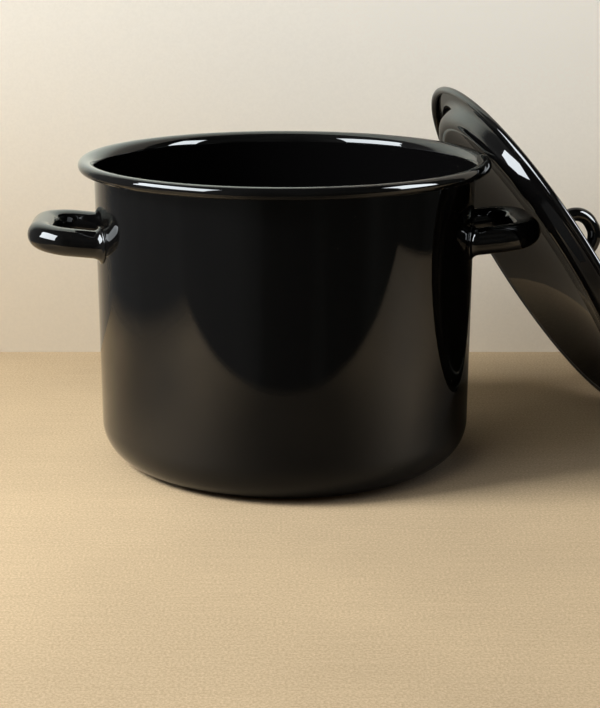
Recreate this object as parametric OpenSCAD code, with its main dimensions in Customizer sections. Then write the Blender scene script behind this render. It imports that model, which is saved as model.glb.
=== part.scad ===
// Water bath canner: an enamelled steel pot, its lid leaning on the rim, and a lift-out jar rack.
// Millimetres. Origin at the centre of the pot's underside, +Z up, the two side handles on -X and +X.

/* [Pot] */
// Height from the table to the top of the rim
pot_h = 258; // [250:1:265]
// Outer radius of the wall just under the rim
wall_top_r = 160; // [159:0.5:163]
// How much narrower the wall is above the bottom corner
wall_draft = 1.5; // [0:0.1:2]
// Thickness of the enamelled sheet
sheet_t = 1.2; // [1:0.1:1.4]
// Outer radius of the bottom corner
corner_r = 33; // [30:1:34]
// Radius of the mouth where the wall flares out to the rim
flare_r = 9.4; // [9:0.1:11]
// Radius of the rim's roll
bead_r = 5; // [4:0.1:5.5]

/* [Side handles] */
// Radius of the tube-shaped grip
grip_r = 11.5; // [10:0.5:12]
// Sheet thickness of the hollow grip
grip_t = 1.5; // [1.2:0.1:2.5]
// Distance from the pot's axis to the middle of the outer bar
grip_reach = 204.5; // [200:0.5:208]
// Distance from the handle's middle to the middle of each arm
arm_y = 43.8; // [42:0.1:46]
// Bend radius of the grip, measured to its middle
grip_bend_r = 26; // [24:1:30]
// Height of the arms' middle where they meet the wall
handle_z = 191; // [185:1:196]
// Upward slope of the handles, in degrees
handle_tilt = 6; // [4:0.5:7]
// Radius of the flared feet on the wall
foot_r = 15.5; // [14:0.5:16]
// Height of the flared feet above the wall
foot_h = 7; // [5:0.5:8]

/* [Lid] */
// Outer radius of the lid
lid_r = 179; // [178:0.5:180]
// Radius of the lid's rolled edge
edge_r = 3; // [2.5:0.1:3.2]
// Radius of the lowest line of the plug that sits inside the pot's mouth
plug_r = 146; // [144:0.5:148]
// Depth of the plug below the middle of the rolled edge
plug_depth = 12.8; // [11:0.1:13]
// Steepness of the plug's outer wall, in degrees
plug_slope = 62; // [50:1:65]
// Rise of the dome where it leaves the plug, in degrees
dome_slope = 16; // [14:0.5:17]
// Lean of the lid from lying flat, in degrees
lid_lean = 59.1; // [58.9:0.1:59.2]
// Direction in which the lid's outer face looks, in degrees from +X
lid_turn = 9; // [8.5:0.1:9.5]
// Distance of the lid's centre from the pot's axis, along X
lid_x = 237.4; // [237.3:0.1:241]
// Distance of the lid's centre from the pot's axis, along Y
lid_y = 77.5; // [77:0.5:78]
// Radius of the lid handle's rod
knob_rod_r = 6.2; // [5.5:0.1:6.5]
// Half the distance between the lid handle's legs
knob_half_w = 19; // [18:0.5:24]
// Height of the lid handle's top bar above the rolled edge's middle
knob_h = 54; // [50:1:58]

/* [Jar rack] */
// Diameter of a quart jar, seven of which stand in the rack
jar_d = 95; // [94:0.5:95]
// Radius of the rack's ring and hoop wire
hoop_wire_r = 2; // [1.5:0.1:2.2]
// Radius of the divider wire
divider_wire_r = 1.5; // [1:0.1:1.5]
// Number of outer jars and of dividers between them
outer_jars = 6; // [6:1:6]
// Height of the dividers' top bars above the table
divider_top = 62; // [58:1:64]
// Length of each rack handle from its pivot to its grip
bail_len = 128; // [110:1:130]
// Distance from the rack handle's middle to each of its arms
bail_arm_x = 35; // [33:1:38]

/* [Hidden] */
$fn = 96;

enamel = [0.05, 0.05, 0.06];
chrome = [0.78, 0.79, 0.8];

weld = 0.1;      // how far one wire sinks into the next where they are welded
play = 0.06;     // radial clearance of a handle's pin in its eye
floor_gap = 0.2; // clearance under the rack

// Pot
wall_base_r = wall_top_r - wall_draft;
flare_c = [wall_top_r - sheet_t + flare_r, pot_h - flare_r];
bead_c = [flare_c.x, pot_h - bead_r];
rim_r = bead_c.x + bead_r;
curl_end = -150;

// Side handles
root_x = 150;
arm_run = grip_reach - root_x - grip_bend_r;
foot_turn = asin(arm_y / wall_top_r);

// Lid, in its own frame: +Z out of its outer face, height 0 at the middle of its rolled edge
edge_c = [lid_r - edge_r, 0];
shoulder_r = 10;
valley_r = 11;
lid_curl_end = -190;
valley_c = [plug_r, valley_r - plug_depth];
slope_len = (edge_r - shoulder_r + shoulder_r * cos(plug_slope) - valley_c.y
    + (valley_r - sheet_t) * cos(plug_slope)) / sin(plug_slope);
shoulder_c = [plug_r + (shoulder_r + valley_r - sheet_t) * sin(plug_slope)
    + slope_len * cos(plug_slope), edge_r - shoulder_r];
dome_r = (plug_r - (valley_r - sheet_t) * sin(dome_slope)) / sin(dome_slope);
dome_c = [0, valley_c.y - (valley_r - sheet_t + dome_r) * cos(dome_slope)];
lid_z = (lid_r - edge_r) * sin(lid_lean) + edge_r;
knob_bend_r = 17;
knob_foot_r = 9;
knob_foot_h = 4;
knob_foot_z = dome_c.y + sqrt(dome_r * dome_r - pow(knob_half_w + knob_foot_r, 2));

// Jar rack: the dividers' foot wires lie on the pot's floor and carry the three rings
jar_ring_r = jar_d + 3;
foot_wire_z = sheet_t + floor_gap + divider_wire_r;
ring_z = foot_wire_z + divider_wire_r + hoop_wire_r - weld;
inner_leg_r = 57;
foot_bend_r = 22;
top_bend_r = 8;
outer_leg_r = jar_ring_r + jar_d / 2 + hoop_wire_r / 2 - divider_wire_r;
hoop_r = outer_leg_r + divider_wire_r + hoop_wire_r - weld;
top_hoop_z = divider_top - top_bend_r - hoop_wire_r;
lower_hoop_z = 26;
lug_t = 5;
lug_w = 7;
eye_r = 4.2;
lug_x = bail_arm_x + 8.5;
pivot_y = sqrt(hoop_r * hoop_r - lug_x * lug_x);
pivot_z = divider_top + divider_wire_r + hoop_wire_r + 0.5;
pin_bend_r = 6;
bail_bend_r = 12;

// Points on an arc about c, from angle a to angle b
function arc(c, r, a, b, n) = [for (i = [0:n]) let (t = a + (b - a) * i / n) c + r * [cos(t), sin(t)]];

// A straight round bar from p to q, where both share all but one coordinate
module bar(p, q, r) {
    d = q - p;
    turn = abs(d.x) > 0.001 ? [0, 90, 0] : abs(d.y) > 0.001 ? [-90, 0, 0] : [0, 0, 0];
    low = d.x + d.y + d.z > 0 ? p : q;
    translate(low) rotate(turn) cylinder(h = norm(d), r = r);
}

// A quarter bend in the XY plane about the origin, from +X round to +Y
module bend(r, wire_r) rotate_extrude(angle = 90) translate([r, 0]) circle(r = wire_r);

// A full ring of round wire
module ring(r, wire_r) rotate_extrude() translate([r, 0]) circle(r = wire_r);

// The solid that the pot's outer wall encloses, below the flare
module inside_wall() translate([0, 0, corner_r])
    cylinder(h = flare_c.y - corner_r, r1 = wall_base_r, r2 = wall_top_r);

module pot_body() {
    corner_c = [wall_base_r - corner_r, corner_r];
    outside = concat(
        [[0, 0]],
        arc(corner_c, corner_r, -90, 0, 12),
        arc(flare_c, flare_r - sheet_t, 180, 90, 8),
        arc(bead_c, bead_r - sheet_t, 80, curl_end, 16));
    inside = concat(
        arc(bead_c, bead_r, curl_end, 80, 16),
        arc(flare_c, flare_r, 90, 180, 8),
        arc(corner_c, corner_r - sheet_t, 0, -90, 12),
        [[0, sheet_t]]);
    color(enamel) rotate_extrude() polygon(concat(outside, inside));
}

// The loop of a side handle on the +X side, as a round bar of radius r
module loop(r) translate([root_x, 0, handle_z]) rotate([0, -handle_tilt, 0]) {
    for (s = [-1, 1]) {
        bar([0, s * arm_y, 0], [arm_run, s * arm_y, 0], r);
        translate([arm_run, s * (arm_y - grip_bend_r), 0]) rotate(s > 0 ? 0 : -90) bend(grip_bend_r, r);
    }
    bar([arm_run + grip_bend_r, grip_bend_r - arm_y, 0],
        [arm_run + grip_bend_r, arm_y - grip_bend_r, 0], r);
}

// One hollow loop handle on the +X side, with a flared foot at the end of each arm
module side_handle() color(enamel) difference() {
    union() {
        loop(grip_r);
        for (s = [-1, 1]) translate([0, 0, handle_z]) rotate([0, 90, s * foot_turn])
            translate([0, 0, wall_top_r - 2]) cylinder(h = foot_h + 2, r1 = foot_r, r2 = grip_r - 1);
    }
    inside_wall();
    loop(grip_r - grip_t);
}

module left_handle() mirror([1, 0, 0]) side_handle();
module right_handle() side_handle();

// Stands the lid's own frame in its leaning place
module leaning() translate([lid_x, lid_y, lid_z]) rotate([0, lid_lean, lid_turn]) children();

module lid_cover() {
    upper = concat(
        arc(edge_c, edge_r, lid_curl_end, 90, 16),
        arc(shoulder_c, shoulder_r, 90, 90 + plug_slope, 6),
        arc(valley_c, valley_r - sheet_t, plug_slope - 90, -90 - dome_slope, 8),
        arc(dome_c, dome_r, 90 - dome_slope, 90, 12));
    lower = concat(
        arc(dome_c, dome_r - sheet_t, 90, 90 - dome_slope, 12),
        arc(valley_c, valley_r, -90 - dome_slope, plug_slope - 90, 8),
        arc(shoulder_c, shoulder_r - sheet_t, 90 + plug_slope, 90, 6),
        arc(edge_c, edge_r - sheet_t, 90, lid_curl_end, 16));
    color(enamel) leaning() rotate_extrude() polygon(concat(upper, lower));
}

// The flat ends of the feet sink into the dome's sheet, where they are welded
module lid_handle() color(enamel) leaning() {
    for (s = [-1, 1]) {
        bar([s * knob_half_w, 0, knob_foot_z], [s * knob_half_w, 0, knob_h - knob_bend_r], knob_rod_r);
        translate([s * (knob_half_w - knob_bend_r), 0, knob_h - knob_bend_r])
            rotate([90, s > 0 ? 0 : -90, 0]) bend(knob_bend_r, knob_rod_r);
        translate([s * knob_half_w, 0, knob_foot_z])
            cylinder(h = knob_foot_h, r1 = knob_foot_r, r2 = knob_rod_r - 0.5);
    }
    bar([knob_bend_r - knob_half_w, 0, knob_h], [knob_half_w - knob_bend_r, 0, knob_h], knob_rod_r);
}

module rack_ring(r, z) color(chrome) translate([0, 0, z]) ring(r, hoop_wire_r);
module rack_centre_ring() rack_ring(26, ring_z);
module rack_inner_ring() rack_ring(70, ring_z);
module rack_outer_ring() rack_ring(124, ring_z);
module rack_lower_hoop() rack_ring(hoop_r, lower_hoop_z);
module rack_top_hoop() rack_ring(hoop_r, top_hoop_z);

// One wire bent into a foot, an outer leg, a top bar and an inner leg
module rack_divider(k) color(chrome) rotate(k * 360 / outer_jars) {
    foot_bend_x = outer_leg_r - foot_bend_r;
    bend_z = divider_top - top_bend_r;
    bar([22, 0, foot_wire_z], [foot_bend_x, 0, foot_wire_z], divider_wire_r);
    translate([foot_bend_x, 0, foot_wire_z + foot_bend_r]) rotate([-90, 0, 0])
        bend(foot_bend_r, divider_wire_r);
    bar([outer_leg_r, 0, foot_wire_z + foot_bend_r], [outer_leg_r, 0, bend_z], divider_wire_r);
    translate([outer_leg_r - top_bend_r, 0, bend_z]) rotate([90, 0, 0])
        bend(top_bend_r, divider_wire_r);
    bar([inner_leg_r + top_bend_r, 0, divider_top], [outer_leg_r - top_bend_r, 0, divider_top],
        divider_wire_r);
    translate([inner_leg_r + top_bend_r, 0, bend_z]) rotate([90, -90, 0])
        bend(top_bend_r, divider_wire_r);
    bar([inner_leg_r, 0, foot_wire_z], [inner_leg_r, 0, bend_z], divider_wire_r);
}

// Two bored lugs on the top hoop, on the +Y side
module pivot_lugs() color(chrome) for (s = [-1, 1]) difference() {
    union() {
        translate([s * lug_x - lug_t / 2, pivot_y - lug_w / 2, top_hoop_z])
            cube([lug_t, lug_w, pivot_z - top_hoop_z]);
        translate([s * lug_x - lug_t / 2, pivot_y, pivot_z]) rotate([0, 90, 0])
            cylinder(h = lug_t, r = eye_r);
    }
    translate([s * lug_x - lug_t, pivot_y, pivot_z]) rotate([0, 90, 0])
        cylinder(h = 2 * lug_t, r = hoop_wire_r + play);
    translate([0, 0, top_hoop_z]) ring(hoop_r, hoop_wire_r);
}

// A handle of the rack, folded flat towards the middle from its pivots on the +Y side
module rack_handle() color(chrome) translate([0, pivot_y, pivot_z]) {
    pin_x = bail_arm_x + pin_bend_r;
    for (s = [-1, 1]) {
        bar([s * pin_x, 0, 0], [s * (lug_x + lug_t), 0, 0], hoop_wire_r);
        translate([s * pin_x, -pin_bend_r, 0]) rotate(s > 0 ? 90 : 0) bend(pin_bend_r, hoop_wire_r);
        bar([s * bail_arm_x, -pin_bend_r, 0], [s * bail_arm_x, bail_bend_r - bail_len, 0], hoop_wire_r);
        translate([s * (bail_arm_x - bail_bend_r), bail_bend_r - bail_len, 0])
            rotate(s > 0 ? -90 : 180) bend(bail_bend_r, hoop_wire_r);
    }
    bar([bail_bend_r - bail_arm_x, -bail_len, 0], [bail_arm_x - bail_bend_r, -bail_len, 0], hoop_wire_r);
}

module rack_rear_pivots() pivot_lugs();
module rack_front_pivots() mirror([0, 1, 0]) pivot_lugs();
module rack_rear_handle() rack_handle();
module rack_front_handle() mirror([0, 1, 0]) rack_handle();

pot_body();
left_handle();
right_handle();
lid_cover();
lid_handle();
rack_centre_ring();
rack_inner_ring();
rack_outer_ring();
rack_lower_hoop();
rack_top_hoop();
for (k = [1:outer_jars]) rack_divider(k);
rack_front_pivots();
rack_rear_pivots();
rack_front_handle();
rack_rear_handle();
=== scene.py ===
"""The looks of the water bath canner: black enamel, bright rack wire, a pale table and soft light.

Metres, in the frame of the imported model: the origin is the centre of the pot's underside, +Z is up
and the two side handles lie on -X and +X. Every smooth piece replaces the CAD node of the same
shape. The rack keeps its CAD nodes and gets weld beads.
"""

import math

import bpy
import numpy as np
from mathutils import Matrix, Vector


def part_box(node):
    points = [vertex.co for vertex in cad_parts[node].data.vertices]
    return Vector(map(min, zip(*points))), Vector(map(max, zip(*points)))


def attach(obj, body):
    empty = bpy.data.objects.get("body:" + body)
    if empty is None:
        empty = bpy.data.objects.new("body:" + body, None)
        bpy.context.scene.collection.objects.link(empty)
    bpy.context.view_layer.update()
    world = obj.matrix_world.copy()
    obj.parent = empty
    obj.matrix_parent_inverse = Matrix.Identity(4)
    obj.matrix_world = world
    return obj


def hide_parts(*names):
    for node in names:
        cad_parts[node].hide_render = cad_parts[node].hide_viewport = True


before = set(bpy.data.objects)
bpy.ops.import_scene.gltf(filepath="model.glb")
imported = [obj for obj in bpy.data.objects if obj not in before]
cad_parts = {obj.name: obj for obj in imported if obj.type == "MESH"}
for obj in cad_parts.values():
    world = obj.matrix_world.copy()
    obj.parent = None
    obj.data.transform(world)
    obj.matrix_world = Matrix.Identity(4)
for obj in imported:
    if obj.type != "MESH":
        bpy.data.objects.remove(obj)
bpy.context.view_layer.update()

MM = 0.001
TAU = 2 * math.pi

# --- driving dimensions ---------------------------------------------------------------------------

POT_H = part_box("pot_body")[1].z

SHEET = 1.2 * MM          # enamelled sheet
WALL_TOP_R = 160 * MM
WALL_DRAFT = 1.5 * MM
CORNER_R = 33 * MM        # bottom corner
FLARE_R = 9.4 * MM        # mouth, where the wall turns out to the rim
BEAD_R = 4.96 * MM        # roll of the rim
BEAD_FROM, BEAD_TO = 80, -150         # degrees, the stretch that the roll takes

GRIP_R = 11.5 * MM
GRIP_REACH = 204.49 * MM  # from the pot's axis to the middle of the outer bar
ARM_Y = 43.8 * MM
GRIP_BEND_R = 26 * MM
HANDLE_Z = 191 * MM
HANDLE_TILT = math.radians(6)
HANDLE_ROOT_X = 150 * MM  # the tilt starts here, inside the wall
FOOT_R = 15.4 * MM

LID_R = 178.97 * MM
LID_EDGE_R = 2.97 * MM
LID_EDGE_FROM = -190      # degrees, where the rolled edge starts
PLUG_R = 146 * MM
PLUG_DEPTH = 12.8 * MM
PLUG_SLOPE = math.radians(62)
DOME_SLOPE = math.radians(16)
SHOULDER_R = 10 * MM
VALLEY_R = 11 * MM
LID_LEAN = math.radians(59.1)
LID_TURN = math.radians(9)
LID_X = 237.4 * MM
LID_Y = 77.5 * MM
KNOB_ROD_R = 6.2 * MM
KNOB_HALF_W = 19 * MM
KNOB_H = 54 * MM
KNOB_BEND_R = 17 * MM
KNOB_FOOT_R = 9 * MM

WIRE_R = 2 * MM           # the rack's rings and hoops
DIVIDER_WIRE_R = 1.5 * MM
WELD_SINK = 0.1 * MM      # how far one wire sinks into the next
WELD_SPREAD = 2.1 * MM
WELD_RISE = 1.1 * MM
INNER_LEG_R = 57 * MM     # the dividers' inner legs, from the rack's axis
DIVIDERS = 6

# --- fineness and feet ----------------------------------------------------------------------------

TURNED_STEPS = 288        # steps round the axis of the pot and the lid
WALL_STEPS = 24           # steps up the pot's wall
GRIP_SIDES = 64
KNOB_SIDES = 48
WELD_RINGS, WELD_SIDES = 7, 14
ON_AXIS = 1e-7            # a point of an outline closer than this lies on the axis
SAME_PLACE = 1e-6
FOOT_CLEAR = 1 * MM       # kept between the last ring of a foot and the bend after it
OFF_THE_WALL = 1.0        # a distance that is beyond every foot

BASE_RINGS = (60 * MM, 110 * MM)
FOOT_LIP = 0.8 * MM       # the upright edge of a flared foot
FOOT_EASE = 0.25 * MM     # how far that edge is drawn in where it meets the surface
FOOT_STRETCH = 1.5        # the length of the foot's fillet over its width
FOOT_STEPS = (0, 0.3, 0.8, 1.1, 1.5, 2, 2.6, 3.3, 4.2)         # mm above the surface
GRIP_STEPS = (*FOOT_STEPS, 5.4, 6.8, 8.5, 11, 14, 18, 22)
KNOB_STEPS = (*FOOT_STEPS, 5.5, 7.5, 10, 14, 18, 22)
GRIP_FOLLOW = 24 * MM     # the rings closer than this to the wall take its curve
KNOB_FOLLOW = 10 * MM

# --- mesh helpers ---------------------------------------------------------------------------------


def arc(centre, radius, start, end, count):
    """Points on an arc in a plane, from angle start to angle end, in degrees."""
    angles = np.radians(np.linspace(start, end, count + 1))
    return [(centre[0] + radius * math.cos(a), centre[1] + radius * math.sin(a)) for a in angles]


def bend(centre, start, end, angle, count):
    """Points on an arc from direction start towards direction end, both vectors from centre."""
    centre, start, end = Vector(centre), Vector(start), Vector(end)
    angles = [angle * i / count for i in range(count + 1)]
    return [centre + start * math.cos(a) + end * math.sin(a) for a in angles]


def new_object(name, verts, faces, smooth=True):
    mesh = bpy.data.meshes.new(name)
    mesh.from_pydata([tuple(v) for v in verts], [], faces)
    mesh.validate()
    mesh.update()
    if smooth:
        mesh.shade_smooth()
    obj = bpy.data.objects.new(name, mesh)
    bpy.context.scene.collection.objects.link(obj)
    return obj


def lathe(name, profile):
    """A closed outline of (radius, height) points turned about Z. Points on the axis become one."""
    turns = [TAU * j / TURNED_STEPS for j in range(TURNED_STEPS)]
    on_axis = [abs(radius) < ON_AXIS for radius, _ in profile]
    verts, first = [], []
    for (radius, height), pole in zip(profile, on_axis):
        first.append(len(verts))
        angles = turns[:1] if pole else turns
        verts += [(radius * math.cos(a), radius * math.sin(a), height) for a in angles]
    faces = []
    for i, here in enumerate(first):
        following = (i + 1) % len(profile)
        there = first[following]
        if on_axis[i] and on_axis[following]:
            continue
        for j in range(TURNED_STEPS):
            k = (j + 1) % TURNED_STEPS
            if on_axis[i]:
                faces.append((here, there + k, there + j))
            elif on_axis[following]:
                faces.append((here + j, here + k, there))
            else:
                faces.append((here + j, here + k, there + k, there + j))
    return new_object(name, verts, faces)


def bar_frames(path):
    """Each point of a path with two directions across it, turned as little as possible."""
    last = len(path) - 1
    along = [(path[min(i + 1, last)] - path[max(i - 1, 0)]).normalized() for i in range(last + 1)]
    axis = next(a for a in (Vector((0, 0, 1)), Vector((1, 0, 0))) if abs(along[0].dot(a)) < 0.9)
    across = (axis - along[0] * axis.dot(along[0])).normalized()
    frames = []
    for point, tangent in zip(path, along):
        across = (across - tangent * across.dot(tangent)).normalized()
        frames.append((point, across, tangent.cross(across)))
    return frames


def ring(point, across, other, radius, sides):
    """Points on a circle round a point of a bar."""
    angles = [TAU * j / sides for j in range(sides)]
    return [
        point + across * (radius * math.cos(a)) + other * (radius * math.sin(a)) for a in angles
    ]


def bar_faces(rings, sides):
    """The faces of a bar made of rings of points, with a cap at each end."""
    faces = []
    for i in range(rings - 1):
        here, there = i * sides, (i + 1) * sides
        for j in range(sides):
            k = (j + 1) % sides
            faces.append((here + j, here + k, there + k, there + j))
    last = (rings - 1) * sides
    return faces + [tuple(range(sides))[::-1], tuple(last + j for j in range(sides))]


# --- pot ------------------------------------------------------------------------------------------

FLARE_Z = POT_H - FLARE_R             # top of the straight wall


def pot_profile():
    wall_base_r = WALL_TOP_R - WALL_DRAFT
    corner = (wall_base_r - CORNER_R, CORNER_R)
    flare = (WALL_TOP_R - SHEET + FLARE_R, FLARE_Z)
    bead = (flare[0], POT_H - BEAD_R)
    wall_h = FLARE_Z - CORNER_R
    wall = [
        (wall_base_r + WALL_DRAFT * i / WALL_STEPS, CORNER_R + wall_h * i / WALL_STEPS)
        for i in range(1, WALL_STEPS)
    ]
    outside = (
        [(0, 0)] + [(r, 0) for r in BASE_RINGS]
        + arc(corner, CORNER_R, -90, 0, 24)
        + wall
        + arc(flare, FLARE_R - SHEET, 180, 90, 14)
        + arc(bead, BEAD_R - SHEET, BEAD_FROM, BEAD_TO, 22)
    )
    inside = (
        arc(bead, BEAD_R, BEAD_TO, BEAD_FROM, 30)
        + arc(flare, FLARE_R, 90, 180, 18)
        + [(r - SHEET, z) for r, z in reversed(wall)]
        + arc(corner, CORNER_R - SHEET, 0, -90, 24)
        + [(r, SHEET) for r in reversed(BASE_RINGS)] + [(0, SHEET)]
    )
    return outside + inside


def wall_radius(z):
    share = min(max((z - CORNER_R) / (FLARE_Z - CORNER_R), 0), 1)
    return WALL_TOP_R - WALL_DRAFT * (1 - share)


def make_pot():
    pot = lathe("pot_shell", pot_profile())
    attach(pot, "pot")
    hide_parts("pot_body")
    return pot


# --- side handles ---------------------------------------------------------------------------------


def foot_radius(distance, rod, foot):
    """Radius of a bar at a distance from the surface that its flared foot stands on."""
    if distance < FOOT_LIP:
        return foot - FOOT_EASE * (1 - distance / FOOT_LIP)
    fillet = foot - rod
    share = (distance - FOOT_LIP) / (FOOT_STRETCH * fillet)
    if share >= 1:
        return rod
    return rod + fillet * (1 - math.sqrt(1 - (1 - share) ** 2))


def grip_path(root_x):
    """The middle line of the loop on the +X side, from one foot round to the other."""
    root, run, rise = HANDLE_ROOT_X, math.cos(HANDLE_TILT), math.sin(HANDLE_TILT)
    arm_end = GRIP_REACH - GRIP_BEND_R
    centre_y = ARM_Y - GRIP_BEND_R
    half = [(root_x + s * MM, ARM_Y) for s in GRIP_STEPS if root_x + s * MM < arm_end - FOOT_CLEAR]
    half += [
        (arm_end + GRIP_BEND_R * math.sin(a), centre_y + GRIP_BEND_R * math.cos(a))
        for a in np.linspace(0, math.pi / 2, 16)
    ]
    bar = [(GRIP_REACH, y) for y in np.linspace(centre_y, -centre_y, 11)[1:-1]]
    plan = half + bar + [(x, -y) for x, y in reversed(half)]
    return [Vector((root + (x - root) * run, y, HANDLE_Z + (x - root) * rise)) for x, y in plan]


def make_side_handle(name, node, side):
    """The loop as rings along its middle line; the rings near the wall follow the wall's curve."""
    root_x = math.sqrt(wall_radius(HANDLE_Z) ** 2 - ARM_Y**2)
    frames = bar_frames(grip_path(root_x))
    verts = []
    for middle, across, other in frames:
        on_arm = abs(middle.y) > ARM_Y - SAME_PLACE
        distance = middle.x - root_x if on_arm else OFF_THE_WALL
        radius = foot_radius(distance, GRIP_R, FOOT_R)
        follow = max(0.0, 1 - distance / GRIP_FOLLOW)
        for point in ring(middle, across, other, radius, GRIP_SIDES):
            on_wall = math.sqrt(wall_radius(point.z) ** 2 - point.y**2) - root_x
            point.x += on_wall * follow - (point.x - middle.x) * follow
            verts.append((point.x * side, point.y, point.z))
    faces = bar_faces(len(frames), GRIP_SIDES)
    if side < 0:
        faces = [f[::-1] for f in faces]
    handle = new_object(name, verts, faces)
    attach(handle, "pot")
    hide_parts(node)
    return handle


# --- lid ------------------------------------------------------------------------------------------


def lid_geometry():
    """Centres and radii of the arcs in the lid's outline, in its own frame."""
    valley = (PLUG_R, VALLEY_R - PLUG_DEPTH)
    inner = VALLEY_R - SHEET
    drop = LID_EDGE_R - SHOULDER_R + SHOULDER_R * math.cos(PLUG_SLOPE)
    slope = drop - valley[1] + inner * math.cos(PLUG_SLOPE)
    slope /= math.sin(PLUG_SLOPE)
    shoulder_x = PLUG_R + (SHOULDER_R + inner) * math.sin(PLUG_SLOPE) + slope * math.cos(PLUG_SLOPE)
    dome_r = (PLUG_R - inner * math.sin(DOME_SLOPE)) / math.sin(DOME_SLOPE)
    dome_z = valley[1] - (inner + dome_r) * math.cos(DOME_SLOPE)
    return valley, (shoulder_x, LID_EDGE_R - SHOULDER_R), dome_r, dome_z


def lid_profile():
    valley, shoulder, dome_r, dome_z = lid_geometry()
    edge = (LID_R - LID_EDGE_R, 0)
    plug, dome = math.degrees(PLUG_SLOPE), math.degrees(DOME_SLOPE)
    outer = (
        arc(edge, LID_EDGE_R, LID_EDGE_FROM, 90, 30)
        + arc(shoulder, SHOULDER_R, 90, 90 + plug, 14)
        + arc(valley, VALLEY_R - SHEET, plug - 90, -90 - dome, 14)
        + arc((0, dome_z), dome_r, 90 - dome, 90, 40)
    )
    inner = (
        arc((0, dome_z), dome_r - SHEET, 90, 90 - dome, 40)
        + arc(valley, VALLEY_R, -90 - dome, plug - 90, 14)
        + arc(shoulder, SHOULDER_R - SHEET, 90 + plug, 90, 14)
        + arc(edge, LID_EDGE_R - SHEET, 90, LID_EDGE_FROM, 30)
    )
    return [(0 if r < ON_AXIS else r, h) for r, h in outer + inner]


def lid_place():
    z = (LID_R - LID_EDGE_R) * math.sin(LID_LEAN) + LID_EDGE_R
    turn = Matrix.Rotation(LID_TURN, 4, "Z") @ Matrix.Rotation(LID_LEAN, 4, "Y")
    return Matrix.Translation((LID_X, LID_Y, z)) @ turn


def make_lid():
    lid = lathe("lid_shell", lid_profile())
    lid.data.transform(lid_place())
    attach(lid, "lid")
    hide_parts("lid_cover")
    return lid


def make_lid_handle():
    """The loop as rings along its middle line; the rings near the lid follow its dome."""
    _, _, dome_r, dome_z = lid_geometry()
    foot_z = dome_z + math.sqrt(dome_r**2 - KNOB_HALF_W**2)
    straight_top = KNOB_H - KNOB_BEND_R
    leg = [foot_z + s * MM for s in KNOB_STEPS]
    half = [Vector((KNOB_HALF_W, 0, z)) for z in leg if z < straight_top - FOOT_CLEAR]
    corner = (KNOB_HALF_W - KNOB_BEND_R, 0, straight_top)
    half += bend(corner, (KNOB_BEND_R, 0, 0), (0, 0, KNOB_BEND_R), math.pi / 2, 16)
    frames = bar_frames(half + [Vector((-p.x, 0, p.z)) for p in reversed(half)])
    verts = []
    for middle, across, other in frames:
        height = middle.z - foot_z
        radius = foot_radius(height, KNOB_ROD_R, KNOB_FOOT_R)
        follow = max(0.0, 1 - height / KNOB_FOLLOW)
        for point in ring(middle, across, other, radius, KNOB_SIDES):
            on_dome = dome_z + math.sqrt(dome_r**2 - point.x**2 - point.y**2) - foot_z
            point.z += on_dome * follow
            verts.append(point)
    handle = new_object("lid_grip", verts, bar_faces(len(frames), KNOB_SIDES))
    handle.data.transform(lid_place())
    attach(handle, "lid")
    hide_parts("lid_handle")
    return handle


# --- rack welds -----------------------------------------------------------------------------------


def nugget(centre, outward):
    """A flattened bead of weld metal round the place where two wires touch, as points and faces."""
    centre, axis = Vector(centre), Vector(outward).normalized()
    side = axis.orthogonal().normalized()
    other = axis.cross(side)
    verts = [centre - axis * WELD_RISE]
    for i in range(1, WELD_RINGS):
        angle = math.pi * i / WELD_RINGS
        middle = centre + axis * (-WELD_RISE * math.cos(angle))
        for j in range(WELD_SIDES):
            turn = TAU * j / WELD_SIDES
            away = side * math.cos(turn) + other * math.sin(turn)
            verts.append(middle + away * (WELD_SPREAD * math.sin(angle)))
    verts.append(centre + axis * WELD_RISE)
    last = len(verts) - 1
    loop = [(j, (j + 1) % WELD_SIDES) for j in range(WELD_SIDES)]
    faces = [(0, 1 + k, 1 + j) for j, k in loop]
    for i in range(WELD_RINGS - 2):
        here, there = 1 + i * WELD_SIDES, 1 + (i + 1) * WELD_SIDES
        faces += [(here + j, here + k, there + k, there + j) for j, k in loop]
    top = 1 + (WELD_RINGS - 2) * WELD_SIDES
    faces += [(top + j, top + k, last) for j, k in loop]
    return verts, faces


def make_rack_welds():
    """Weld beads where each divider meets the ground rings, the two hoops and its own foot wire."""
    spots = []
    for node in ("rack_centre_ring", "rack_inner_ring", "rack_outer_ring"):
        low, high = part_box(node)
        spots.append(((high.x - WIRE_R, 0, low.z + WELD_SINK / 2), (0, 0, 1)))
    for node in ("rack_lower_hoop", "rack_top_hoop"):
        low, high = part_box(node)
        spots.append(((high.x - 2 * WIRE_R + WELD_SINK / 2, 0, (low.z + high.z) / 2), (1, 0, 0)))
    leg_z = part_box("rack_divider_1")[0].z + 2 * DIVIDER_WIRE_R
    spots.append(((INNER_LEG_R, 0, leg_z), (0, 0, 1)))
    verts, faces = [], []
    for k in range(DIVIDERS):
        turn = Matrix.Rotation(TAU * k / DIVIDERS, 3, "Z")
        for centre, outward in spots:
            points, cells = nugget(centre, outward)
            start = len(verts)
            verts += [turn @ p for p in points]
            faces += [tuple(start + i for i in cell) for cell in cells]
    welds = new_object("rack_welds", verts, faces)
    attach(welds, "rack")
    return welds


# --- materials ------------------------------------------------------------------------------------

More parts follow.
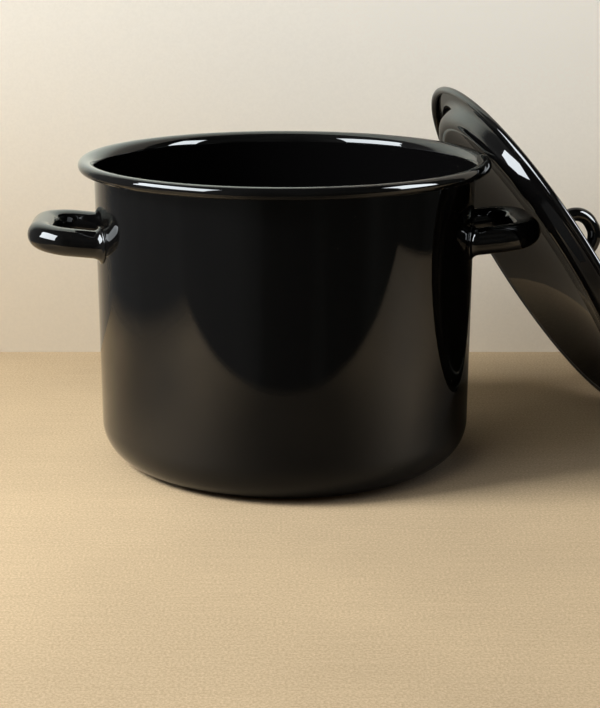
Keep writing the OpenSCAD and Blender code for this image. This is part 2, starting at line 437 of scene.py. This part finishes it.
ENAMEL_BLACK, DUST_GREY = (0.0028, 0.0028, 0.003), (0.12, 0.115, 0.10)
ENAMEL_IOR = 1.52
ENAMEL_CLEAR, ENAMEL_HAZY = 0.018, 0.05               # roughness
HAZE_PER_M = 16
WAVES_PER_M, WAVE_HEIGHT = 20, 0.12 * MM
PEEL_PER_M, PEEL_HEIGHT = 330, 0.01 * MM
DUST_PER_M = 150
DUST_SHARE = 0.93                     # the cells of the dust pattern above this share hold a speck
SPECK_CORE, SPECK_EDGE = 0.03, 0.07   # how far a speck reaches in its cell
DUST_ROUGHNESS = 0.35
CHROME_CLEAN, CHROME_STAINED = (0.74, 0.75, 0.76), (0.60, 0.56, 0.48)
CHROME_BRIGHT, CHROME_DULL = 0.06, 0.22               # roughness
PATCHES_PER_M = 26
GRAIN_PER_M, GRAIN_HEIGHT, GRAIN_ROUGHNESS = 700, 0.04 * MM, 0.12


def node_material(name):
    mat = bpy.data.materials.new(name)
    mat.use_nodes = True
    tree = mat.node_tree
    return mat, tree, tree.nodes["Principled BSDF"]


def add(tree, kind, inputs=None, **settings):
    node = tree.nodes.new(kind)
    for key, value in settings.items():
        setattr(node, key, value)
    for key, value in (inputs or {}).items():
        node.inputs[key].default_value = value
    return node


def math_node(tree, operation, *values):
    """A math node whose inputs are numbers or the outputs of other nodes."""
    node = add(tree, "ShaderNodeMath", operation=operation)
    for socket, value in zip(node.inputs, values):
        if isinstance(value, (int, float)):
            socket.default_value = value
        else:
            tree.links.new(value, socket)
    return node.outputs[0]


def ramp_node(tree, value, low, high, to_low=0.0, to_high=1.0):
    """Runs smoothly from to_low, where value is low, to to_high, where it is high."""
    ends = {"From Min": low, "From Max": high, "To Min": to_low, "To Max": to_high}
    node = add(tree, "ShaderNodeMapRange", ends, interpolation_type="SMOOTHSTEP")
    tree.links.new(value, node.inputs["Value"])
    return node.outputs["Result"]


def noise_node(tree, place, scale, detail, roughness=0.5):
    values = {"Scale": scale, "Detail": detail, "Roughness": roughness}
    node = add(tree, "ShaderNodeTexNoise", values)
    tree.links.new(place, node.inputs["Vector"])
    return node.outputs["Fac"]


def mix_colours(tree, share, low, high):
    """Colour low where share is 0 and high where it is 1."""
    node = add(tree, "ShaderNodeMix", data_type="RGBA")
    tree.links.new(share, node.inputs["Factor"])
    for key, colour in (("A", low), ("B", high)):
        socket = [i for i in node.inputs if i.name == key and i.type == "RGBA"][0]
        socket.default_value = (*colour, 1)
    return [o for o in node.outputs if o.type == "RGBA"][0]


def colour_ramp(tree, value, stops):
    """Runs through the colours of (position, colour) stops, in rising order."""
    node = add(tree, "ShaderNodeValToRGB")
    elements = node.color_ramp.elements
    while len(elements) < len(stops):
        elements.new(0.5)
    for element, (position, colour) in zip(elements, stops):
        element.position, element.color = position, (*colour, 1)
    tree.links.new(value, node.inputs["Fac"])
    return node.outputs["Color"]


def scale_colour(tree, colour, factor):
    node = add(tree, "ShaderNodeVectorMath", operation="SCALE")
    tree.links.new(colour, node.inputs[0])
    tree.links.new(factor, node.inputs["Scale"])
    return node.outputs[0]


def mix_shaders(tree, share, first, second):
    """Shader first where share is 0 and second where it is 1."""
    node = add(tree, "ShaderNodeMixShader")
    for socket, value in zip(node.inputs, (share, first, second)):
        tree.links.new(value, socket)
    return node.outputs[0]


def split_axes(tree, place):
    node = add(tree, "ShaderNodeSeparateXYZ")
    tree.links.new(place, node.inputs[0])
    return node.outputs


def bump_chain(tree, shader, *layers):
    """Bumps laid over each other: a height, its strength and the real height it stands for."""
    before = None
    for height, strength, distance in layers:
        node = add(tree, "ShaderNodeBump", {"Strength": strength, "Distance": distance})
        tree.links.new(height, node.inputs["Height"])
        if before:
            tree.links.new(before, node.inputs["Normal"])
        before = node.outputs["Normal"]
    tree.links.new(before, shader.inputs["Normal"])


def enamel_material(name):
    """Black vitreous enamel: glassy, with slow waves, a fine orange peel, faint haze and dust."""
    mat, tree, shader = node_material(name)
    place = add(tree, "ShaderNodeTexCoord").outputs["Object"]
    cells = add(tree, "ShaderNodeTexVoronoi", {"Scale": DUST_PER_M})
    tree.links.new(place, cells.inputs["Vector"])
    tint = add(tree, "ShaderNodeSeparateColor")
    tree.links.new(cells.outputs["Color"], tint.inputs["Color"])
    chosen = math_node(tree, "GREATER_THAN", tint.outputs["Red"], DUST_SHARE)
    spot = ramp_node(tree, cells.outputs["Distance"], SPECK_CORE, SPECK_EDGE, 1, 0)
    dust = math_node(tree, "MULTIPLY", chosen, spot)
    clouds = noise_node(tree, place, HAZE_PER_M, 4)
    haze = ramp_node(tree, clouds, 0.35, 0.75, ENAMEL_CLEAR, ENAMEL_HAZY)
    tree.links.new(mix_colours(tree, dust, ENAMEL_BLACK, DUST_GREY), shader.inputs["Base Color"])
    roughness = math_node(tree, "MULTIPLY_ADD", dust, DUST_ROUGHNESS, haze)
    tree.links.new(roughness, shader.inputs["Roughness"])
    shader.inputs["IOR"].default_value = ENAMEL_IOR
    waves = noise_node(tree, place, WAVES_PER_M, 1)
    peel = noise_node(tree, place, PEEL_PER_M, 1)
    bump_chain(tree, shader, (waves, 0.5, WAVE_HEIGHT), (peel, 0.4, PEEL_HEIGHT))
    return mat


def chrome_material(name):
    """Bright plated wire: fine drawing marks, uneven polish and a slight yellowing in patches."""
    mat, tree, shader = node_material(name)
    place = add(tree, "ShaderNodeTexCoord").outputs["Object"]
    patches = noise_node(tree, place, PATCHES_PER_M, 3)
    grain = noise_node(tree, place, GRAIN_PER_M, 2)
    stain = ramp_node(tree, patches, 0.45, 0.72)
    colour = mix_colours(tree, stain, CHROME_CLEAN, CHROME_STAINED)
    tree.links.new(colour, shader.inputs["Base Color"])
    shader.inputs["Metallic"].default_value = 1
    dull = ramp_node(tree, patches, 0.3, 0.75, CHROME_BRIGHT, CHROME_DULL)
    roughness = math_node(tree, "MULTIPLY_ADD", grain, GRAIN_ROUGHNESS, dull)
    tree.links.new(roughness, shader.inputs["Roughness"])
    bump_chain(tree, shader, (grain, 0.35, GRAIN_HEIGHT))
    return mat


# --- stage ----------------------------------------------------------------------------------------

CAMERA_TURN = math.radians(-2.6)      # where the camera stands, turned about the pot's axis from -Y
CAMERA_DISTANCE = 1.385
CAMERA_HEIGHT = 0.452
CAMERA_PITCH = math.radians(14.82)
LENS_MM, SENSOR_MM = 83.9, 36
SIDE_SHIFT = 0.0215

TURN = Matrix.Rotation(CAMERA_TURN, 4, "Z")
WALL_Y = 0.332                        # the wall behind the table, in the camera's own turn
TABLE_LEFT, TABLE_RIGHT, TABLE_FRONT = -0.75, 1.08, -0.5
WALL_HEIGHT = 1.3
WIDE_HALF, WIDE_HEIGHT = 2.5, 1.8     # the wall that is seen but not mirrored
WIDE_GAP = 0.001                      # between the two walls
FLOOR_HALF = 6
LAYER_GAP = 0.0005                    # between the table and the floor under it
LEFT_FADE, RIGHT_FADE, FRONT_FADE = 0.3, 0.08, 0.05   # where the table's mirror image thins out
HAZE_FROM, HAZE_TO = 0.8, 3           # the seen floor turns into the backdrop between these

# Painted shadows in the mirror images of the table and the wall: centre, inner and outer radius,
# share of light left inside
TABLE_MIRROR_SHADOWS = (
    ((0.05, -0.38, 0), 0.1, 0.42, 0.2),
    ((0.24, 0.14, 0), 0.1, 0.32, 0.25),
    ((-0.45, -0.12, 0), 0.05, 0.3, 0.5),
    ((0.03, -0.2, 0), 0.05, 0.2, 0.7),
)
WALL_MIRROR_SHADOWS = (((0.17, WALL_Y, 0.1), 0.06, 0.26, 0.22),)
WALL_FADE_LEFT = -0.2                 # the wall is mirrored less from here to the table's left end

PAPER_DARK, PAPER_LIGHT = (0.5, 0.383, 0.235), (0.77, 0.61, 0.405)
RIBS_PER_M = (12, 330, 1)             # along the ribs, across them and up
FIBRES_PER_M = 520
PAPER_HEIGHT = 0.4 * MM
# Painted light and shade on the table at each distance along Y: lightest just in front of the pot,
# darker towards the front edge and darkest towards the wall
TABLE_PAINTED_LIGHT = ((-0.45, 0.88), (-0.3, 0.97), (-0.14, 1.04), (0.03, 0.88), (0.17, 0.82), (0.3, 0.78))
LIGHT_RAMP_START = 0.5                     # added to Y, since a colour ramp runs from 0 to 1
# Painted shade: the wall is darker and yellower at its foot and has its lit colour higher up
WALL_SHADED_FOOT, WALL_LIT_UPPER = (0.66, 0.59, 0.475), (0.87, 0.87, 0.83)
WALL_GLOW_SEEN, WALL_GLOW_MIRRORED = (1, 0.975, 0.89), (0.8, 1, 0.92)
# Each of these: from, to, and the value at either end. First the painted glow that the wall gives
# off where it is seen, along X and up; next the painted reflection glow where it is mirrored; last
# the painted shade that darkens it far left.
SEEN_GLOW_ACROSS, SEEN_GLOW_UP = (-0.45, 0.3, 0.02, 0.2), (0, 0.25, 0.35, 1)
MIRRORED_GLOW_ACROSS, MIRRORED_GLOW_UP = (-0.05, 0.15, 0.75, 0), (0.12, 0.42, 0, 1)
LEFT_SHADE_ACROSS = (-1.5, -0.55, 0.3, 1)
WALL_SHADE_TOP = 0.45                  # the wall has its upper colour from this height on
WALL_BOUNCE = (0.42, 0.36, 0.27)      # light that the back of the wall gives the floor behind it
BACKDROP = (0.72, 0.68, 0.59)         # what is seen beyond the floor and the wall
FILL_TINT, FILL_STRENGTH = (1, 0.7, 0.38, 1), 0.065
ROOM_DARK, ROOM_LIGHT = (0.03, 0.031, 0.029), (0.09, 0.093, 0.087)
# Extra light of the mirrored room: from and to along X, and the light at either end
LEFT_ROOM_GLOW = (-0.9, -0.1, 0.1, 0)

WINDOW_TINT, WINDOW_GLOW = (0.90, 0.96, 1, 1), 18
LEFT_WINDOW_X, RIGHT_WINDOW_X = -1.25, 1.35
LEFT_WINDOW = (
    (-1.4, 0.62), (-0.12, 0.44), (-0.1, 0.8), (0.05, 1.04), (0.08, 1.25), (-0.2, 1.55), (-1.4, 2.3),
)
RIGHT_WINDOW = ((-0.74, 0.35), (-0.12, 0.35), (-0.12, 1.6), (-0.74, 1.6))
LAMP_TINT = (1, 0.985, 0.96)
# Name, place, what it points at, size and watts
LAMPS = (
    ("key", (-1.95, -0.64, 1.7), (0, 0, 0.1), 0.9, 85.5),
    ("fill", (-1.2, -1.6, 2.1), (0, 0, 0), 1.4, 15),
)


def make_camera():
    data = bpy.data.cameras.new("camera")
    data.lens = LENS_MM
    data.sensor_width = SENSOR_MM
    data.shift_x = SIDE_SHIFT
    cam = bpy.data.objects.new("camera", data)
    stand = Matrix.Translation((0, -CAMERA_DISTANCE, CAMERA_HEIGHT))
    cam.matrix_world = TURN @ stand @ Matrix.Rotation(math.pi / 2 - CAMERA_PITCH, 4, "X")
    bpy.context.scene.collection.objects.link(cam)
    bpy.context.scene.camera = cam


def panel(name, corners, material, mirrored=True):
    """A flat stage panel from its corners. One that isn't mirrored doesn't show in the enamel."""
    obj = new_object(name, corners, [tuple(range(len(corners)))], smooth=False)
    obj.matrix_world = TURN
    obj.data.materials.append(material)
    obj.visible_glossy = mirrored
    return obj


def level(x0, x1, y0, y1, z):
    return [(x0, y0, z), (x1, y0, z), (x1, y1, z), (x0, y1, z)]


def upright(x0, x1, z0, z1, y):
    return [(x0, y, z0), (x1, y, z0), (x1, y, z1), (x0, y, z1)]


def window_card(name, x, outline):
    """A bright card across X that only the gloss of the enamel and the wire shows."""
    mat, _, shader = node_material(name)
    shader.inputs["Base Color"].default_value = (0, 0, 0, 1)
    shader.inputs["Emission Color"].default_value = WINDOW_TINT
    shader.inputs["Emission Strength"].default_value = WINDOW_GLOW
    card = panel(name, [(x, y, z) for y, z in outline], mat)
    card.visible_camera = card.visible_diffuse = card.visible_shadow = False


def soft_box(name, centre, aim, size, power):
    """A square area light that points at a place and isn't mirrored."""
    data = bpy.data.lights.new(name, "AREA")
    data.shape = "RECTANGLE"
    data.size = data.size_y = size
    data.energy = power
    data.color = LAMP_TINT
    obj = bpy.data.objects.new(name, data)
    toward = (Vector(aim) - Vector(centre)).to_track_quat("-Z", "Y").to_matrix().to_4x4()
    obj.matrix_world = TURN @ Matrix.Translation(centre) @ toward
    obj.visible_glossy = False
    bpy.context.scene.collection.objects.link(obj)


def fade_mirrored(tree, shader, shares):
    """Lets mirror rays through the surface, as far as the product of shares falls below 1."""
    seen = shares[0]
    for share in shares[1:]:
        seen = math_node(tree, "MULTIPLY", seen, share)
    lost = math_node(tree, "SUBTRACT", 1, seen)
    rays = add(tree, "ShaderNodeLightPath").outputs
    through = math_node(tree, "MULTIPLY", rays["Is Glossy Ray"], lost)
    return mix_shaders(tree, through, shader, add(tree, "ShaderNodeBsdfTransparent").outputs[0])


def mirrored_shade(tree, place, spots):
    """Painted shadow in mirror images: 1 where a surface is seen, less where it is mirrored round
    the given spots.
    """
    shade = 1
    for centre, inner, outer, share in spots:
        far = add(tree, "ShaderNodeVectorMath", operation="DISTANCE")
        tree.links.new(place, far.inputs[0])
        far.inputs[1].default_value = centre
        spot = ramp_node(tree, far.outputs["Value"], inner, outer, share, 1)
        shade = math_node(tree, "MULTIPLY", spot, shade)
    rays = add(tree, "ShaderNodeLightPath").outputs
    lost = math_node(tree, "MULTIPLY", rays["Is Glossy Ray"], math_node(tree, "SUBTRACT", 1, shade))
    return math_node(tree, "SUBTRACT", 1, lost)


def table_material():
    """Pale brown paper: fine fibres, faint ribs along X, and a slight unevenness of tone."""
    mat, tree, shader = node_material("table_paper")
    place = add(tree, "ShaderNodeTexCoord").outputs["Object"]
    stretch = add(tree, "ShaderNodeMapping", {"Scale": RIBS_PER_M})
    tree.links.new(place, stretch.inputs["Vector"])
    ribs = noise_node(tree, stretch.outputs[0], 1, 2)
    fibre = noise_node(tree, place, FIBRES_PER_M, 5, roughness=0.75)
    paper = math_node(tree, "MULTIPLY_ADD", ribs, 0.12, fibre)
    tone = colour_ramp(tree, paper, [(0.46, PAPER_DARK), (0.78, PAPER_LIGHT)])

    x, y, _ = split_axes(tree, place)
    depth = math_node(tree, "ADD", y, LIGHT_RAMP_START)
    # painted light and shade along Y, darker towards the wall
    painted_light = colour_ramp(tree, depth, [(at + LIGHT_RAMP_START, (grey,) * 3) for at, grey in TABLE_PAINTED_LIGHT])
    clouds = ramp_node(tree, noise_node(tree, place, 6, 3), 0.2, 0.8, 0.95, 1.05)
    shade = math_node(tree, "MULTIPLY", clouds, painted_light)
    # painted shadows where the table is mirrored
    shade = math_node(tree, "MULTIPLY", shade, mirrored_shade(tree, place, TABLE_MIRROR_SHADOWS))
    tree.links.new(scale_colour(tree, tone, shade), shader.inputs["Base Color"])
    bump_chain(tree, shader, (paper, 0.15, PAPER_HEIGHT))
    shader.inputs["Roughness"].default_value = 0.75
    shader.inputs["Specular IOR Level"].default_value = 0.25

    near = fade_mirrored(tree, shader.outputs[0], [
        ramp_node(tree, x, TABLE_LEFT, TABLE_LEFT + LEFT_FADE),
        ramp_node(tree, x, TABLE_RIGHT - RIGHT_FADE, TABLE_RIGHT, 1, 0),
        ramp_node(tree, y, TABLE_FRONT, TABLE_FRONT + FRONT_FADE),
    ])
    reach = add(tree, "ShaderNodeVectorMath", operation="LENGTH")
    tree.links.new(place, reach.inputs[0])
    far = ramp_node(tree, reach.outputs["Value"], HAZE_FROM, HAZE_TO)
    rays = add(tree, "ShaderNodeLightPath").outputs
    haze = math_node(tree, "MULTIPLY", rays["Is Camera Ray"], far)
    backdrop = add(tree, "ShaderNodeEmission", {"Color": (*BACKDROP, 1)}).outputs[0]
    beyond = mix_shaders(tree, haze, near, backdrop)
    tree.links.new(beyond, tree.nodes["Material Output"].inputs["Surface"])
    return mat


def wall_material():
    """A matt wall that is clear from behind, so that it hides nothing from the back."""
    mat, tree, shader = node_material("pale_wall")
    place = add(tree, "ShaderNodeTexCoord").outputs["Object"]
    x, _, z = split_axes(tree, place)
    # painted shade towards the wall's foot
    shaded_by_height = mix_colours(tree, ramp_node(tree, z, 0, WALL_SHADE_TOP), WALL_SHADED_FOOT, WALL_LIT_UPPER)
    shade = ramp_node(tree, noise_node(tree, place, 420, 2), 0.3, 0.7, 0.985, 1.015)
    # painted shadow where the wall is mirrored, standing for the pot's shadow on it
    shade = math_node(tree, "MULTIPLY", shade, mirrored_shade(tree, place, WALL_MIRROR_SHADOWS))
    # painted shade: the wall darkens far to the left
    shade = math_node(tree, "MULTIPLY", shade, ramp_node(tree, x, *LEFT_SHADE_ACROSS))
    tree.links.new(scale_colour(tree, shaded_by_height, shade), shader.inputs["Base Color"])
    shader.inputs["Roughness"].default_value = 0.9
    shader.inputs["Specular IOR Level"].default_value = 0.1

    rays = add(tree, "ShaderNodeLightPath").outputs
    # painted light: the wall glows where it is seen, and as a painted reflection where it is
    # mirrored
    across, up = ramp_node(tree, x, *SEEN_GLOW_ACROSS), ramp_node(tree, z, *SEEN_GLOW_UP)
    seen_glow = math_node(tree, "MULTIPLY", across, up)
    seen = math_node(tree, "MULTIPLY", rays["Is Camera Ray"], seen_glow)
    across, up = ramp_node(tree, x, *MIRRORED_GLOW_ACROSS), ramp_node(tree, z, *MIRRORED_GLOW_UP)
    mirrored_glow = math_node(tree, "MULTIPLY", across, up)
    mirrored = math_node(tree, "MULTIPLY", rays["Is Glossy Ray"], mirrored_glow)
    tree.links.new(math_node(tree, "ADD", seen, mirrored), shader.inputs["Emission Strength"])
    glow = mix_colours(tree, rays["Is Glossy Ray"], WALL_GLOW_SEEN, WALL_GLOW_MIRRORED)
    tree.links.new(glow, shader.inputs["Emission Color"])

    share = ramp_node(tree, x, TABLE_LEFT, WALL_FADE_LEFT)
    front = fade_mirrored(tree, shader.outputs[0], [share])
    clear = add(tree, "ShaderNodeBsdfTransparent").outputs[0]
    bounce = add(tree, "ShaderNodeEmission", {"Color": (*WALL_BOUNCE, 1)}).outputs[0]
    back = mix_shaders(tree, rays["Is Diffuse Ray"], clear, bounce)
    side = add(tree, "ShaderNodeNewGeometry").outputs["Backfacing"]
    both = mix_shaders(tree, side, front, back)
    tree.links.new(both, tree.nodes["Material Output"].inputs["Surface"])
    return mat


def make_world():
    """Pale where it is seen and a dim room where it is mirrored, so that the enamel stays black."""
    world = bpy.data.worlds.new("studio")
    world.use_nodes = True
    bpy.context.scene.world = world
    tree = world.node_tree
    seen = tree.nodes["Background"]
    seen.inputs["Color"].default_value = (*BACKDROP, 1)
    place = add(tree, "ShaderNodeTexCoord").outputs["Generated"]
    tone = colour_ramp(tree, noise_node(tree, place, 2, 2), [(0.4, ROOM_DARK), (0.7, ROOM_LIGHT)])
    glow = add(tree, "ShaderNodeVectorMath", operation="ADD")
    tree.links.new(tone, glow.inputs[0])
    left = split_axes(tree, place)["X"]
    tree.links.new(ramp_node(tree, left, *LEFT_ROOM_GLOW), glow.inputs[1])
    room = add(tree, "ShaderNodeBackground")
    tree.links.new(glow.outputs[0], room.inputs["Color"])
    fill = add(tree, "ShaderNodeBackground", {"Color": FILL_TINT, "Strength": FILL_STRENGTH})
    rays = add(tree, "ShaderNodeLightPath").outputs
    unseen = mix_shaders(tree, rays["Is Glossy Ray"], fill.outputs[0], room.outputs[0])
    whole = mix_shaders(tree, rays["Is Camera Ray"], unseen, seen.outputs[0])
    tree.links.new(whole, tree.nodes["World Output"].inputs["Surface"])


def make_stage():
    paper, wall = table_material(), wall_material()
    panel("table", level(TABLE_LEFT, TABLE_RIGHT, TABLE_FRONT, WALL_Y, 0), paper)
    floor = level(-FLOOR_HALF, FLOOR_HALF, -FLOOR_HALF, FLOOR_HALF, -LAYER_GAP)
    panel("floor", floor, paper, mirrored=False)
    back = upright(TABLE_LEFT, TABLE_RIGHT, 0, WALL_HEIGHT, WALL_Y)
    wide = upright(-WIDE_HALF, WIDE_HALF, 0, WIDE_HEIGHT, WALL_Y + WIDE_GAP)
    for part in (panel("back_wall", back, wall), panel("wide_wall", wide, wall, mirrored=False)):
        part.visible_shadow = False
    window_card("left_window", LEFT_WINDOW_X, LEFT_WINDOW)
    window_card("right_window", RIGHT_WINDOW_X, RIGHT_WINDOW)
    for lamp in LAMPS:
        soft_box(*lamp)
    make_world()


def main():
    scene = bpy.context.scene
    scene.view_settings.view_transform = "Standard"
    enamel = enamel_material("black_enamel")
    chrome = chrome_material("rack_wire")
    pieces = [
        make_pot(),
        make_side_handle("left_grip", "left_handle", -1),
        make_side_handle("right_grip", "right_handle", 1),
        make_lid(),
        make_lid_handle(),
    ]
    for piece in pieces:
        piece.data.materials.append(enamel)
    for node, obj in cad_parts.items():
        if node.startswith("rack"):
            obj.data.materials.clear()
            obj.data.materials.append(chrome)
    make_rack_welds().data.materials.append(chrome)
    make_stage()
    make_camera()


main()
